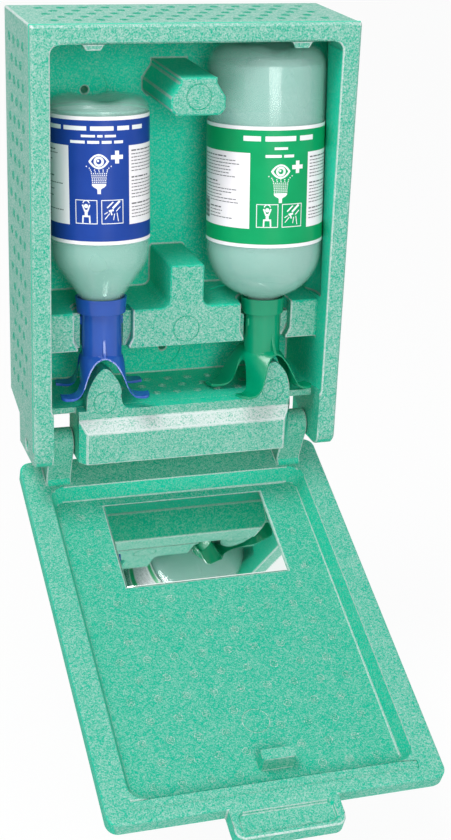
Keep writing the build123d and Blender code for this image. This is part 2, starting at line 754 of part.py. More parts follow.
for bottle in bottles:
    axis = bottle_axis(bottle)
    section = profile_plane(bottle)
    bore_radius = bottle.tube_radius - cup_wall
    neck_radius = bore_radius - neck_clearance
    mouth = bottle.seat - neck_depth
    collar_top = bottle.seat + bottle.collar_height
    collar_bore = bottle.collar_radius - cup_wall

    # blown polyethylene bottle, base up, open at its mouth
    with BuildPart() as shell:
        with BuildSketch(section):
            add(bottle_section(bottle, 0, mouth))
        revolve(axis=axis)
        with BuildSketch(section):
            add(bottle_section(bottle, bottle_wall, mouth - 2 * bottle_wall))
        revolve(axis=axis, mode=Mode.SUBTRACT)
    shell.part.label = f"{bottle.name}_bottle"
    export_step(shell.part, f"parts/{bottle.name}_bottle.step")

    # the wash solution inside it, with air above
    with BuildPart() as solution:
        with BuildSketch(section):
            add(bottle_section(bottle, bottle_wall + fill_clearance, mouth - bottle_wall))
            fill_height = bottle.base - air_gap - mouth - fill_clearance
            with Locations((0, mouth + fill_clearance)):
                Rectangle(bottle.radius, fill_height, align=(Align.MIN, Align.MIN), mode=Mode.INTERSECT)
        revolve(axis=axis)
    solution.part.label = f"{bottle.name}_solution"
    export_step(solution.part, f"parts/{bottle.name}_solution.step")

    # label, a printed film wrapped round the bottle
    with BuildPart() as label:
        with BuildSketch(cross_plane(bottle, bottle.label_bottom)):
            Circle(bottle.radius + label_gap + label_thickness)
            Circle(bottle.radius + label_gap, mode=Mode.SUBTRACT)
        extrude(amount=bottle.label_top - bottle.label_bottom)
    label.part.label = f"{bottle.name}_label"
    export_step(label.part, f"parts/{bottle.name}_label.step")

    # tear membrane sealed on the bottle's mouth, broken by the first turn
    with BuildPart() as membrane:
        with BuildSketch(cross_plane(bottle, mouth)):
            Circle(neck_radius)
        extrude(amount=-membrane_thickness)
    membrane.part.label = f"{bottle.name}_membrane"
    export_step(membrane.part, f"parts/{bottle.name}_membrane.step")

    # eye cup, drawn upright with the middle of its arch at the origin: a lofted saddle under a tube
    # with a collar
    waist = bore_radius + saddle_thickness
    seat_level = bottle.seat - bottle.tube_bottom
    collar_level = collar_top - bottle.tube_bottom
    with BuildPart() as upright_cup:
        loft(saddle_arches(0, waist))
        with BuildSketch(Plane.XY.offset(-2 * saddle_drop)):
            saddle_depth = saddle_front + saddle_rear
            saddle_middle = (saddle_rear - saddle_front) / 2
            foot_radius = (saddle_depth / 2 - eye_hollow_half) / 2 - 0.1
            with Locations((0, saddle_middle)):
                RectangleRounded(2 * saddle_half_length, saddle_depth, foot_radius)
            hollow_centre = saddle_half_length + 2
            with Locations((hollow_centre, saddle_middle), (-hollow_centre, saddle_middle)):
                Ellipse(eye_hollow_reach + 2, eye_hollow_half, mode=Mode.SUBTRACT)
        extrude(amount=3 * saddle_drop, mode=Mode.INTERSECT)
        # tube and collar
        with BuildSketch(Plane.XZ):
            Polygon(
                (0, -saddle_fall - 2),
                (bottle.tube_radius, -saddle_fall - 2),
                (bottle.tube_radius, seat_level),
                (bottle.collar_radius - collar_flare, seat_level),
                (bottle.collar_radius, collar_level),
                (0, collar_level),
                align=None,
            )
        revolve(axis=Axis.Z)
        # fin on the front of the tube
        fin_top = (bottle.tube_radius - 0.4, fin_height - saddle_fall)
        fin_foot = (saddle_front, -saddle_fall - 0.2)
        with BuildSketch(Plane(origin=(fin_thickness / 2, 0, 0), x_dir=(0, -1, 0), z_dir=(-1, 0, 0))):
            with BuildLine():
                TangentArc(fin_top, fin_foot, tangent=(0, -1))
                Polyline(fin_foot, (fin_top[0], fin_foot[1]), fin_top)
            make_face()
        extrude(amount=fin_thickness)
        # lugs on its sides
        lug_level = seat_level - 3 - lug_length / 2
        for facing in (-1, 1):
            lug_root = (facing * (bottle.tube_radius - 0.5), 0, lug_level)
            with BuildSketch(Plane(origin=lug_root, x_dir=(0, 0, 1), z_dir=(facing, 0, 0))):
                SlotOverall(lug_length, lug_width)
            extrude(amount=lug_height + 0.5, taper=20)
        # hollow under the arch
        loft(saddle_arches(saddle_thickness, waist), mode=Mode.SUBTRACT)
        # bore for the bottle's neck and the stream, and the wider bore of the collar
        with BuildSketch(Plane.XY.offset(-saddle_drop)):
            Circle(bore_radius)
        extrude(amount=saddle_drop + collar_level + 1, mode=Mode.SUBTRACT)
        with BuildSketch(Plane.XY.offset(seat_level + cup_wall)):
            Circle(collar_bore)
        extrude(amount=bottle.collar_height, mode=Mode.SUBTRACT)

    # set on the bottle's axis, leaning with it and turned to face the user
    cup_place = Plane(
        origin=neck_point(bottle) + lean * bottle.tube_bottom,
        x_dir=Vector(1, 0, 0).rotate(axis, bottle.cup_turn),
        z_dir=lean,
    )
    with BuildPart() as cup:
        add(upright_cup.part.moved(cup_place.location))
    cup.part.label = f"{bottle.name}_eye_cup"
    export_step(cup.part, f"parts/{bottle.name}_eye_cup.step")

    # seal ring in the collar, round the neck
    with BuildPart() as ring:
        with BuildSketch(cross_plane(bottle, bottle.seat + cup_wall)):
            Circle(collar_bore - insert_clearance)
            Circle(neck_radius + neck_clearance, mode=Mode.SUBTRACT)
        extrude(amount=ring_thickness)
    ring.part.label = f"{bottle.name}_seal_ring"
    export_step(ring.part, f"parts/{bottle.name}_seal_ring.step")

    # spray insert pressed into the tube, with its rim just below the membrane
    insert_level = mouth - membrane_thickness - 1 - insert_rim
    with BuildPart() as insert:
        with BuildSketch(cross_plane(bottle, insert_level)):
            Circle(bore_radius - insert_clearance)
            with PolarLocations(bore_radius * 0.6, insert_holes):
                Circle(insert_hole, mode=Mode.SUBTRACT)
            Circle(insert_hole, mode=Mode.SUBTRACT)
        extrude(amount=-insert_thickness)
        with BuildSketch(cross_plane(bottle, insert_level)):
            Circle(bore_radius - insert_clearance)
            Circle(bore_radius - insert_clearance - 1.2, mode=Mode.SUBTRACT)
        extrude(amount=insert_rim)
    insert.part.label = f"{bottle.name}_spray_insert"
    export_step(insert.part, f"parts/{bottle.name}_spray_insert.step")
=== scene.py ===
import bmesh
import bpy
import numpy as np
from mathutils import Matrix, Vector


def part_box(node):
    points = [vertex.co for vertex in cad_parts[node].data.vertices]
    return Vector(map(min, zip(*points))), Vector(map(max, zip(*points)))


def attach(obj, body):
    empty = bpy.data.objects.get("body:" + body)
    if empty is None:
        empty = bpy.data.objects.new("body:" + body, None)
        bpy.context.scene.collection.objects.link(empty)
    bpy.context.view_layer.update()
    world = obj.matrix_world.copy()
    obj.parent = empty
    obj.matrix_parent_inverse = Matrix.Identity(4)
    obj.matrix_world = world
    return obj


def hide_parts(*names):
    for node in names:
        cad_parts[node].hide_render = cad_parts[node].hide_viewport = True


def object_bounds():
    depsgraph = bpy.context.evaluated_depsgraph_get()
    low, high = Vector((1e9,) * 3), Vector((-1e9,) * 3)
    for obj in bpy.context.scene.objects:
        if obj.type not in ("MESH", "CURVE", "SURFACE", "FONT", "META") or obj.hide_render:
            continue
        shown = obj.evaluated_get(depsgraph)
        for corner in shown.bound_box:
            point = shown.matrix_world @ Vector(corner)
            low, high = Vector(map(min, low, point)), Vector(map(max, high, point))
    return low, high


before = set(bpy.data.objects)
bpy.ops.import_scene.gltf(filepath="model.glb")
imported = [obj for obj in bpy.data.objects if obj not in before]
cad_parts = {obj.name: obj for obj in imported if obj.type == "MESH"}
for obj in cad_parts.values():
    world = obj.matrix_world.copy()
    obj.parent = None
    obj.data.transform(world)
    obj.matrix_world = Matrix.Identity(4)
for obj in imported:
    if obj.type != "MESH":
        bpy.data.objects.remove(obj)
station_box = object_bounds()

# ---------------------------------------------------------------- camera
# The open station is seen from the front left, a little above its top. The camera is turned about the
# upright by the azimuth, tipped down by the pitch and rolled a little, and its picture is shifted up.
camera_place = Vector((-0.340963, -1.225477, 0.339563))
azimuth, pitch, roll = 0.319643, 0.419757, 0.040316
focal_length = 70.84
shift_right, shift_up = 0.0007, 0.0758


def add_object(name, data):
    """A new object in the scene that shows a mesh, a lamp or a camera."""
    thing = bpy.data.objects.new(name, data)
    bpy.context.collection.objects.link(thing)
    return thing


ahead = Vector((
    np.sin(azimuth) * np.cos(pitch),
    np.cos(azimuth) * np.cos(pitch),
    -np.sin(pitch),
))
level = Vector((np.cos(azimuth), -np.sin(azimuth), 0))
steep = level.cross(ahead)
camera_right = level * np.cos(roll) + steep * np.sin(roll)
camera_up = steep * np.cos(roll) - level * np.sin(roll)
camera_turn = Matrix((camera_right, camera_up, -ahead)).transposed().to_4x4()
camera_data = bpy.data.cameras.new("camera")
camera_data.lens = focal_length
camera_data.shift_x = shift_right
camera_data.shift_y = shift_up
camera = add_object("camera", camera_data)
camera.matrix_world = Matrix.Translation(camera_place) @ camera_turn
bpy.context.scene.camera = camera


# ---------------------------------------------------------------- studio floor and light
# A plain pale floor lies below the station. A large soft lamp stands over the viewer's left shoulder, a
# weaker one stands behind the viewer, and the room's own light fills the shadows.
floor_drop, floor_half = 0.07, 9
floor_grey, floor_white_share = 0.86, 0.94
room_colour, room_strength = (0.94, 0.98, 1.0, 1), 0.46
pure_white = (1, 1, 1, 1)
lit_point = Vector((0, -0.1, -0.05))


def add_node(tree, kind, inputs=None, **settings):
    """A new shader node: its settings, and its inputs as values or as the sockets that feed them."""
    node = tree.nodes.new(kind)
    for key, value in settings.items():
        setattr(node, key, value)
    for key, value in (inputs or {}).items():
        if isinstance(value, bpy.types.NodeSocket):
            tree.links.new(value, node.inputs[key])
        else:
            node.inputs[key].default_value = value
    return node


def worked_out(tree, operation, *values, clamp=False):
    """What a Math node makes of the values, which are numbers or other nodes' sockets."""
    node = add_node(
        tree, "ShaderNodeMath", dict(enumerate(values)), operation=operation, use_clamp=clamp
    )
    return node.outputs[0]


def seen_directly(tree):
    """1 where the camera, a mirror or glass sees the surface, and 0 for all other light."""
    rays = add_node(tree, "ShaderNodeLightPath")
    seen = worked_out(tree, "MAXIMUM", rays.outputs["Is Camera Ray"], rays.outputs["Is Glossy Ray"])
    return worked_out(tree, "MAXIMUM", seen, rays.outputs["Is Transmission Ray"])


floor_level = station_box[0][2] - floor_drop
floor_mesh = bpy.data.meshes.new("floor")
floor_corners = [
    (floor_half * x, floor_half * y, floor_level) for x, y in ((-1, -1), (1, -1), (1, 1), (-1, 1))
]
floor_mesh.from_pydata(floor_corners, [], [(0, 1, 2, 3)])
floor = add_object("floor", floor_mesh)
floor_paint = bpy.data.materials.new("floor_paint")
floor_paint.use_nodes = True
tree = floor_paint.node_tree
tree.nodes.clear()
matt = add_node(tree, "ShaderNodeBsdfDiffuse", {"Color": (floor_grey, floor_grey, floor_grey, 1)})
white = add_node(tree, "ShaderNodeEmission", {"Color": pure_white})
share = worked_out(tree, "MULTIPLY", seen_directly(tree), floor_white_share)
mixed = add_node(tree, "ShaderNodeMixShader", {0: share, 1: matt.outputs[0], 2: white.outputs[0]})
add_node(tree, "ShaderNodeOutputMaterial", {0: mixed.outputs[0]})
floor_mesh.materials.append(floor_paint)

studio = bpy.data.worlds.new("studio")
bpy.context.scene.world = studio
studio.use_nodes = True
tree = studio.node_tree
tree.nodes.clear()
room = add_node(tree, "ShaderNodeBackground", {"Color": room_colour, "Strength": room_strength})
backdrop = add_node(tree, "ShaderNodeBackground", {"Color": pure_white, "Strength": 1.0})
mixed = add_node(
    tree, "ShaderNodeMixShader", {0: seen_directly(tree), 1: room.outputs[0], 2: backdrop.outputs[0]}
)
add_node(tree, "ShaderNodeOutputWorld", {0: mixed.outputs[0]})


def soft_lamp(name, place, size, power):
    """A square area lamp, its size in metres and its power in watts, that faces the cabinet."""
    lamp_data = bpy.data.lights.new(name, "AREA")
    lamp_data.size = size
    lamp_data.energy = power
    lamp = add_object(name, lamp_data)
    lamp_turn = (lit_point - Vector(place)).to_track_quat("-Z", "Y").to_matrix().to_4x4()
    lamp.matrix_world = Matrix.Translation(place) @ lamp_turn


soft_lamp("key_lamp", (-0.85, -0.55, 1.8), 0.9, 30)
soft_lamp("front_lamp", (0.0, -2.0, 0.45), 0.8, 19)
bpy.context.scene.view_settings.view_transform = "Standard"


# ---------------------------------------------------------------- foam cabinet and lid
# Both are moulded from expanded beads in steel tools. Their raised and outer faces are pale, partly
# with rubbed beads and partly with painted sheen; their recesses are painted a brighter pure green, which
# is painted light where shade falls; and each free edge is rounded and carries a paler painted highlight.
# the recess green, brighter than the foam's own deep green, is painted light; the pale is rubbed beads
# and painted sheen
foam_recess_painted_light = (0.000, 0.670, 0.430)
foam_deep = (0.000, 0.385, 0.245)
foam_pale = (0.620, 0.670, 0.655)
bead_size = 0.0012
bead_spread, grain_spread, drift_spread = 0.64, 2.8, 0.4
foam_sharp, foam_narrowest, foam_rounding = np.radians(28), 0.0025, 0.0011
merge_distance, flat_angle = 2e-6, np.radians(0.4)


def beside_short_edge(edge, shortest):
    """Whether an edge that leaves this one's end at an angle is shorter than the shortest length."""
    along = (edge.verts[1].co - edge.verts[0].co).normalized()
    for corner in edge.verts:
        for other in corner.link_edges:
            span = other.other_vert(corner).co - corner.co
            at_an_angle = abs(span.normalized().dot(along)) < 0.9
            if other is not edge and span.length < shortest and at_an_angle:
                return True
    return False


def whole_mesh(node_name, sharp, narrowest, rounding, most_corners=1000):
    """A copy of a CAD node's mesh, with its loose triangles merged and its flat faces made whole. An edge
    that turns by more than the sharp angle is marked for rounding where both faces beside it are wider
    than the narrowest width, taken as area over edge length. A face with more than the most corners is
    cut into triangles again."""
    form = bmesh.new()
    form.from_mesh(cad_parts[node_name].data)
    bmesh.ops.remove_doubles(form, verts=form.verts, dist=merge_distance)
    bmesh.ops.dissolve_limit(form, angle_limit=flat_angle, verts=form.verts, edges=form.edges)
    rounded = form.edges.layers.float.new("bevel_weight_edge")
    for edge in form.edges:
        turn = edge.calc_face_angle(0)
        edge.smooth = turn < sharp
        wide = min(face.calc_area() for face in edge.link_faces) > narrowest * edge.calc_length()
        if turn >= sharp and wide and not beside_short_edge(edge, rounding):
            edge[rounded] = 1
    for face in form.faces:
        face.smooth = True
    too_many = [face for face in form.faces if len(face.verts) > most_corners]
    bmesh.ops.triangulate(form, faces=too_many)
    mesh = bpy.data.meshes.new(node_name + "_skin")
    form.to_mesh(mesh)
    form.free()
    return mesh


def add_piece(mesh, materials, body, node=None):
    """A visible piece with its mesh's name: its materials, the CAD node that it stands for and the body
    that it rides on."""
    for material in materials:
        mesh.materials.append(material)
    piece = add_object(mesh.name, mesh)
    if node:
        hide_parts(node)
    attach(piece, body)
    return piece


def round_edges(piece, rounding, edge_material=-1):
    """Rounds the marked edges in two steps, in a material of their own if its number is given."""
    bevel = piece.modifiers.new("edges", "BEVEL")
    bevel.limit_method = "WEIGHT"
    bevel.width = rounding
    bevel.segments = 2
    bevel.use_clamp_overlap = False
    bevel.material = edge_material
    shading = piece.modifiers.new("shading", "WEIGHTED_NORMAL")
    shading.keep_sharp = True


def face_facts(mesh):
    """The centre, the outward direction and the width of every face, as arrays. The width is twice the
    area over the perimeter, which is the true width of a long strip."""
    def read(items, key, each=1, kind=float):
        """One value, or a row of values, for each item."""
        values = np.empty(len(items) * each, kind)
        items.foreach_get(key, values)
        return values.reshape(-1, each) if each > 1 else values

    points = read(mesh.vertices, "co", 3)
    ends = read(mesh.edges, "vertices", 2, int)
    edge_lengths = np.linalg.norm(points[ends[:, 1]] - points[ends[:, 0]], axis=1)
    round_face = edge_lengths[read(mesh.loops, "edge_index", kind=int)]
    perimeters = np.add.reduceat(round_face, read(mesh.polygons, "loop_start", kind=int))
    widths = 2 * read(mesh.polygons, "area") / perimeters
    return read(mesh.polygons, "center", 3), read(mesh.polygons, "normal", 3), widths


def set_raised(mesh, rest, rules=()):
    """Gives every face its share of pale skin, partly rubbed beads and partly painted sheen, from 0 to 1:
    the rest's, or that of the last rule that holds the face. A rule is an array that says which faces it
    holds, and their share. A low share paints the face the brighter recess green, which is painted light."""
    shares = np.full(len(mesh.polygons), rest, np.float32)
    for held, share in rules:
        shares[held] = share
    mesh.attributes.new("raised", "FLOAT", "FACE").data.foreach_set("value", shares)


def new_finish(name):
    """A new material, its node tree, its shader and the coordinates of the piece that it is on."""
    material = bpy.data.materials.new(name)
    material.use_nodes = True
    tree = material.node_tree
    place = add_node(tree, "ShaderNodeTexCoord").outputs["Object"]
    return material, tree, tree.nodes["Principled BSDF"], place


def clouds(tree, place, scale, detail=2.0, roughness=0.5):
    """Smooth random values between 0 and 1, in patches of which the scale fits into a metre."""
    inputs = {"Vector": place, "Scale": scale, "Detail": detail, "Roughness": roughness}
    return add_node(tree, "ShaderNodeTexNoise", inputs).outputs[0]


def between(tree, share, first, second):
    """A colour between two: the first where the share is 0 and the second where it is 1."""
    first, second = (
        tone if isinstance(tone, bpy.types.NodeSocket) else (*tone, 1) for tone in (first, second)
    )
    return add_node(tree, "ShaderNodeMix", {0: share, 6: first, 7: second}, data_type="RGBA").outputs[2]


def add_relief(tree, shader, height, strength, distance):
    """Fine relief in the shading: the height times the distance in metres, at the strength's share."""
    bump = add_node(
        tree, "ShaderNodeBump", {"Height": height, "Strength": strength, "Distance": distance}
    )
    tree.links.new(bump.outputs[0], shader.inputs["Normal"])


def foam(name, pale_shift):
    """Bead foam. Round cells the size of a bead vary in colour, finer grain lies over them, and the face
    attribute "raised" says how pale the skin is, partly rubbed beads and partly painted sheen, with the
    second argument's share added to it. A low share turns the ground to the brighter recess green,
    painted light in shaded recesses."""
    material, tree, shader, place = new_finish(name)
    beads = add_node(
        tree, "ShaderNodeTexVoronoi", {"Vector": place, "Scale": 1 / bead_size, "Randomness": 1.0}
    )
    bead_lot = add_node(tree, "ShaderNodeSeparateColor", {0: beads.outputs["Color"]}).outputs[0]
    grain = clouds(tree, place, 1100.0, roughness=0.6)
    drift = clouds(tree, place, 55.0, detail=3.0, roughness=0.55)
    raised = add_node(tree, "ShaderNodeAttribute", attribute_name="raised").outputs["Fac"]
    # speckle: each bead's own lot, the grain and slow drifts, all about nought, and more on raised skin
    bead_speckle = worked_out(tree, "MULTIPLY_ADD", bead_lot, bead_spread, -bead_spread / 2)
    grain_speckle = worked_out(tree, "MULTIPLY_ADD", grain, grain_spread, -grain_spread / 2)
    drift_speckle = worked_out(tree, "MULTIPLY_ADD", drift, drift_spread, -drift_spread / 2)
    speckle = worked_out(tree, "ADD", bead_speckle, grain_speckle)
    speckle = worked_out(tree, "ADD", speckle, drift_speckle)
    strength = worked_out(tree, "MULTIPLY_ADD", raised, 0.7, 0.3)
    speckle = worked_out(tree, "MULTIPLY", speckle, strength)
    # the ground is the brighter recess green where the share is low, painted light in shaded recesses,
    # and the foam's own deeper green elsewhere; the pale over it is rubbed beads and painted sheen
    open_share = worked_out(tree, "MULTIPLY_ADD", raised, 9.0, 2 * pale_shift, clamp=True)
    pale_share = worked_out(tree, "MULTIPLY_ADD", raised, 0.85, pale_shift)
    pale_share = worked_out(tree, "ADD", pale_share, speckle, clamp=True)
    ground = between(tree, open_share, foam_recess_painted_light, foam_deep)
    tree.links.new(between(tree, pale_share, ground, foam_pale), shader.inputs["Base Color"])
    rough = worked_out(tree, "MULTIPLY_ADD", grain, 0.3, 0.42)
    tree.links.new(rough, shader.inputs["Roughness"])
    shader.inputs["Specular IOR Level"].default_value = 0.12
    bead_relief = worked_out(tree, "SUBTRACT", beads.outputs["Distance"], grain)
    add_relief(tree, shader, bead_relief, 0.35, 0.0005)
    return material


foam_skin = foam("foam_skin", 0.02)
# the rounded edges take this paler finish: a painted highlight along each edge
foam_edge_highlight = foam("foam_edge_painted_highlight", 0.50)
groove_width = 0.0011

case_mesh = whole_mesh("case_body", foam_sharp, foam_narrowest, foam_rounding)
case_low, case_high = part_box("case_body")
outer_layer, front_depth, sill_height = 0.001, 0.03, 0.06
centres, normals, widths = face_facts(case_mesh)
outside = (
    (np.abs(centres[:, 0]) > case_high.x - outer_layer)
    | (centres[:, 2] > case_high.z - outer_layer)
    | (centres[:, 1] > case_high.y - outer_layer)
)
front_facing = normals[:, 1] < -0.9
near_front = centres[:, 1] < case_low.y + front_depth
front_skin = front_facing & near_front
upward = (normals[:, 2] > 0.8) & ~outside
sloping = (normals[:, 1] < -0.3) & (normals[:, 2] > 0.3)
sill_facet = near_front & sloping & (centres[:, 2] < case_low.z + sill_height)
# shares of pale skin, partly rubbed beads and partly painted sheen, most on the outer faces and front
# rim; cavity faces keep the low rest, painted light in the recess green
case_rules = (
    (near_front, 0.08),
    (front_facing, 0.03),
    (front_skin, 0.31),
    (upward, 0.03),
    (outside, 0.43),
    # the sill's sloping facet is nearly all pale: a painted highlight
    (sill_facet, 0.95),
    # the fine round grooves on the front are darker than the faces round them: painted shade
    (front_skin & (widths < groove_width), 0.10),
)
set_raised(case_mesh, 0.01, case_rules)
case_skin = add_piece(case_mesh, (foam_skin, foam_edge_highlight), "cabinet", "case_body")
# the rounded edges take the second finish, the painted edge highlight
round_edges(case_skin, foam_rounding, 1)

# the lid lies open: heights on it are measured square to its panel, from the mirror's middle
lid_tilt = np.radians(23.8)
lid_out = np.array([0, -np.sin(lid_tilt), np.cos(lid_tilt)])
lid_back = np.array([0, np.cos(lid_tilt), np.sin(lid_tilt)])
ledge_height, rim_height, arm_height = 0.0035, 0.010, 0.0165
hinge_band, tab_end, groove_level = 0.045, -0.3, 0.0009
lid_mesh = whole_mesh("lid", foam_sharp, foam_narrowest, foam_rounding)
centres, normals, widths = face_facts(lid_mesh)
facing = normals @ lid_out
mirror_middle = np.array(sum(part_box("mirror_plate"), Vector())) / 2
above_panel = centres @ lid_out - mirror_middle @ lid_out
from_hinge = (mirror_middle - centres) @ lid_back
upper = facing > 0.8
# shares of pale skin, partly rubbed beads and partly painted sheen, in steps on the panel, ledge, rim,
# arms, tab and outer face; the hinge band and the rest keep low shares, painted light in the recess green
lid_rules = (
    (upper, 0.115),
    (upper & (above_panel > ledge_height), 0.40),
    (upper & (above_panel > rim_height), 0.21),
    (upper & (from_hinge < -hinge_band), 0.05),
    (above_panel > arm_height, 0.24),
    (facing < -0.8, 0.43),
    ((normals[:, 1] < -0.8) & (centres[:, 1] < tab_end), 0.21),
    # the narrow floor of the round mark's groove is painted pale: a painted highlight that shows the ring
    ((facing > 0.99) & (above_panel < groove_level) & (widths < groove_width), 0.55),
)
set_raised(lid_mesh, 0.06, lid_rules)
lid_skin = add_piece(lid_mesh, (foam_skin, foam_edge_highlight), "lid", "lid")
# the rounded edges take the second finish, the painted edge highlight
round_edges(lid_skin, foam_rounding, 1)


# ---------------------------------------------------------------- core vents and parting line
# The tools' walls are dotted with round slotted vents that the steam comes through, and each leaves a
# ring with three bars on the foam. A fine ridge shows where the two halves of the tool meet; it has no
# pale sheen, and its plain green stands for the thin line of shade beside the front edge: painted shade.
vent_radius, vent_relief = 0.0033, 0.00030
vent_sides, bar_top_share = 12, 0.86
vent_raised, ridge_raised = 0.6, 0.12
row_step = 0.86


def block_rows(corners, relief):
    """Vertices and faces of a low block with sloping sides: its outline, and the same a little smaller
    and raised by the relief. The outline is one closed loop of points in a plane."""
    count = len(corners)
    middle = corners.mean(axis=0)
    top = middle + (corners - middle) * bar_top_share
    vertices = np.vstack([
        np.column_stack([corners, np.full(count, -relief)]),
        np.column_stack([top, np.full(count, relief)]),
    ])
    here = np.arange(count)
    after = (here + 1) % count
    sides = np.column_stack([here, after, after + count, here + count])
    return vertices, [list(side) for side in sides] + [list(here + count)]


def vent_pattern():
    """Vertices and faces of one vent, flat on XY: a round wall whose section is a trapezium, and three
    bars across it. All sizes are shares of the vent's radius."""
    turn = np.linspace(0, 2 * np.pi, vent_sides, endpoint=False)
    circle = np.column_stack([np.cos(turn), np.sin(turn)])
    wall = ((1.0, -1), (0.97, 1), (0.80, 1), (0.76, -1))
    vertices = [np.vstack([
        np.column_stack([circle * vent_radius * reach, np.full(vent_sides, height * vent_relief)])
        for reach, height in wall
    ])]
    here = np.arange(vent_sides)
    after = (here + 1) % vent_sides
    quad = np.column_stack([here, after, after + vent_sides, here + vent_sides])
    faces = [list(face) for row in range(len(wall) - 1) for face in quad + vent_sides * row]
    bar_gap, half_thick, half_long, shorter = 1.5 / 4.6, 0.07, 0.62, 0.54
    for step in (-1, 0, 1):
        half = half_long * np.sqrt(1 - (shorter * step) ** 2)
        low, high = bar_gap * step - half_thick, bar_gap * step + half_thick
        bar = np.array([[-half, low], [half, low], [half, high], [-half, high]])
        bar_vertices, bar_faces = block_rows(bar * vent_radius, vent_relief)
        start = sum(len(rows) for rows in vertices)
        vertices.append(bar_vertices)
        faces += [[corner + start for corner in face] for face in bar_faces]
    return np.vstack(vertices), faces


def foam_relief(name, points, faces, raised, material, body):
    """A piece of low relief on the foam, from its points and faces."""
    mesh = bpy.data.meshes.new(name)
    mesh.from_pydata(points.reshape(-1, 3).tolist(), [], faces)
    set_raised(mesh, raised)
    add_piece(mesh, (material,), body)


def vents(name, places, material, body):
    """One mesh of many vents. Each place is a point and the two directions in its face, as three rows; a
    vent's points are the place plus the pattern's three measures along those directions and outwards."""
    pattern, pattern_faces = vent_pattern()
    places = np.array(places)
    across, along = places[:, 1], places[:, 2]
    out = np.cross(across, along)
    spots = (
        places[:, 0][:, None]
        + pattern[None, :, 0, None] * across[:, None]
        + pattern[None, :, 1, None] * along[:, None]
        + pattern[None, :, 2, None] * out[:, None]
    )
    starts = range(0, len(pattern) * len(places), len(pattern))
    faces = [[corner + start for corner in face] for start in starts for face in pattern_faces]
    foam_relief(name, spots, faces, vent_raised, material, body)


def staggered(origin, across, along, width, length, pitch, keep_clear=()):
    """Places in rows over a rectangle, every other row shifted by half a pitch, with round areas left
    bare. Each area is given as its middle across, its middle along and its radius."""
    across, along = np.array(across, float), np.array(along, float)
    rows, columns = int(length / pitch / row_step), int(width / pitch)
    places = []
    for row in range(rows):
        v = length / 2 + (row - (rows - 1) / 2) * pitch * row_step
        count = columns - row % 2
        for u in width / 2 + (np.arange(count) - (count - 1) / 2) * pitch:
            if all(np.hypot(u - a, v - b) > radius for a, b, radius in keep_clear):
                places.append((np.array(origin) + across * u + along * v, across, along))
    return places


vent_slot = foam("foam_vent_slot", -0.50)
vent_pip = foam("foam_vent_pip", -0.20)
close_pitch, middle_pitch, wide_pitch = 0.0165, 0.0205, 0.022

# the cabinet's left side, right side, top and back, with a bare round at each screw hole
side_low, side_high = case_low.z + 0.045, case_high.z - 0.010
margin = 0.012
side_span, case_span = side_high - side_low, 2 * case_high.x - 2 * margin
depth_span = case_high.y - case_low.y - 2.2 * margin
screw_holes, screw_round = ((-0.064, 0.1041), (0.064, 0.1041), (0, -0.1004)), 0.012
screw_areas = [(case_high.x - margin - x, z - side_low, screw_round) for x, z in screw_holes]
right, back, up = np.eye(3)
left_vents = staggered(
    (case_low.x, case_high.y - margin, side_low), -back, up, depth_span, side_span, close_pitch
)
right_vents = staggered(
    (case_high.x, case_low.y + margin, side_low), back, up, depth_span, side_span, close_pitch
)
top_vents = staggered(
    (case_low.x + margin, case_low.y + margin, case_high.z),
    right, back, case_span, depth_span, close_pitch,
)
back_vents = staggered(
    (case_high.x - margin, case_high.y, side_low),
    -right, up, case_span, side_span, wide_pitch, screw_areas,
)
vents("case_vents", left_vents + right_vents + top_vents + back_vents, vent_slot, "cabinet")

# the lid's panel, bare at its round mark, at the catch and at the mirror, and the lid's underside
panel_half, panel_length, panel_below, panel_skin = 0.094, 0.272, 0.2275, 0.00113
mirror_shift, mirror_steps = 0.003, (np.arange(-0.055, 0.056, 0.011), np.arange(-0.035, 0.036, 0.01))
panel_foot = mirror_middle - lid_back * panel_below + lid_out * panel_skin
panel_foot[0] = -panel_half
round_mark, catch = (panel_half + 0.0035, 0.0525, 0.016), (panel_half + 0.0075, 0.0165, 0.020)
mirror_areas = [
    (panel_half + mirror_shift + x, panel_below + y, 0.017)
    for x in mirror_steps[0] for y in mirror_steps[1]
]
panel_vents = staggered(
    panel_foot, right, lid_back, 2 * panel_half, panel_length, middle_pitch,
    [round_mark, catch] + mirror_areas,
)
vents("lid_panel_vents", panel_vents, vent_pip, "lid")
under_half, under_length, under_below, under_skin = panel_half - 0.004, 0.262, 0.2225, 0.00587
under_foot = mirror_middle - lid_back * under_below - lid_out * under_skin
under_foot[0] = under_half
under_vents = staggered(under_foot, -right, lid_back, 2 * under_half, under_length, wide_pitch)
vents("lid_outer_vents", under_vents, vent_slot, "lid")

# the cabinet's floor, which falls by one degree towards the front
floor_slope = np.array([0, np.cos(np.radians(1)), np.sin(np.radians(1))])
floor_foot, floor_width, floor_depth = (-0.098, -0.0813, -0.1219), 0.196, 0.056
floor_vents = staggered(floor_foot, right, floor_slope, floor_width, floor_depth, close_pitch)
vents("floor_vents", floor_vents, vent_pip, "cabinet")


